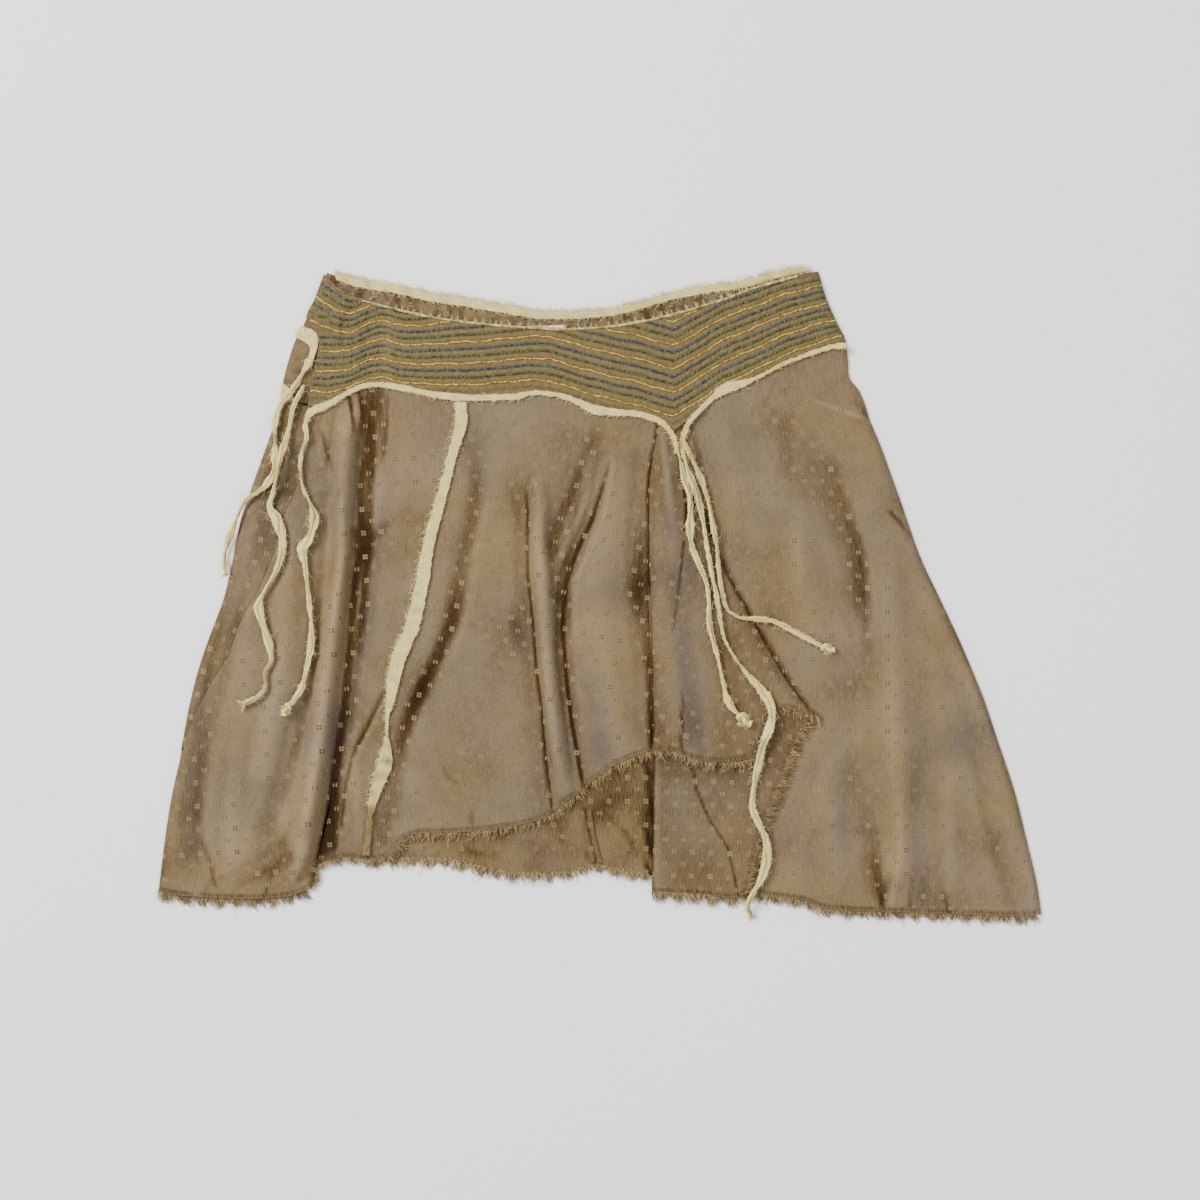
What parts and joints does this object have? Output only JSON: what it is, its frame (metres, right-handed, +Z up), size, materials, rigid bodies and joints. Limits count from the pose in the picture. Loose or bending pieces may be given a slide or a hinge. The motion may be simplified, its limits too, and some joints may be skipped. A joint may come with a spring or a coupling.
{
  "type": "asymmetrical skirt",
  "caption": "Asymmetrical panelled skirt laid flat, with a stitched V yoke, torn seam trims, long torn ties, a slit and frayed hems.",
  "frame": {"origin": "on the surface the skirt lies on, at the middle of its outline seen from above", "axes": "+X across the skirt away from its side with the long ties, +Y from the hem to the waist, +Z up off the surface"},
  "size_m": [0.7084, 0.5294, 0.0155],
  "materials": {
    "satin": "soft sheen of a jacquard satin",
    "stitched_yoke": "matte, with rows of hand stitching",
    "torn_satin": "soft sheen, torn edges",
    "frayed_thread": "loose threads",
    "label_cloth": "plain woven"
  },
  "bodies": {
    "root": {"back_yoke": "satin", "back_gore_left": "satin", "back_gore_right": "satin", "back_seam_allowance": "satin", "front_gore_left": "satin", "front_gore_centre": "satin", "godet": "satin", "front_gore_right": "satin", "side_gore_left": "satin", "underlay_gore": "satin", "front_yoke": "stitched_yoke", "yoke_placket": "satin", "trim_waist_back": "torn_satin", "binding_waist_front": "torn_satin", "label_blank": "label_cloth", "patch_side_upper": "torn_satin", "patch_side_lower": "torn_satin", "trim_yoke_left": "torn_satin", "trim_yoke_right": "torn_satin", "trim_front_seam": "torn_satin", "fringe_hem_left": "frayed_thread", "fringe_hem_pleat": "frayed_thread", "fringe_hem_centre": "frayed_thread", "fringe_hem_godet": "frayed_thread", "fringe_slit": "frayed_thread", "fringe_hem_back": "frayed_thread", "fringe_hem_underlay": "frayed_thread", "fringe_hem_right": "frayed_thread", "tie_side_outer": "torn_satin", "tie_side_inner": "torn_satin", "tie_side_front": "torn_satin", "tie_centre_left": "torn_satin", "tie_centre_right": "torn_satin", "tie_centre_long": "torn_satin", "knot_side_front": "torn_satin", "knot_centre_left": "torn_satin", "knot_centre_right": "torn_satin"}
  },
  "joints": []
}
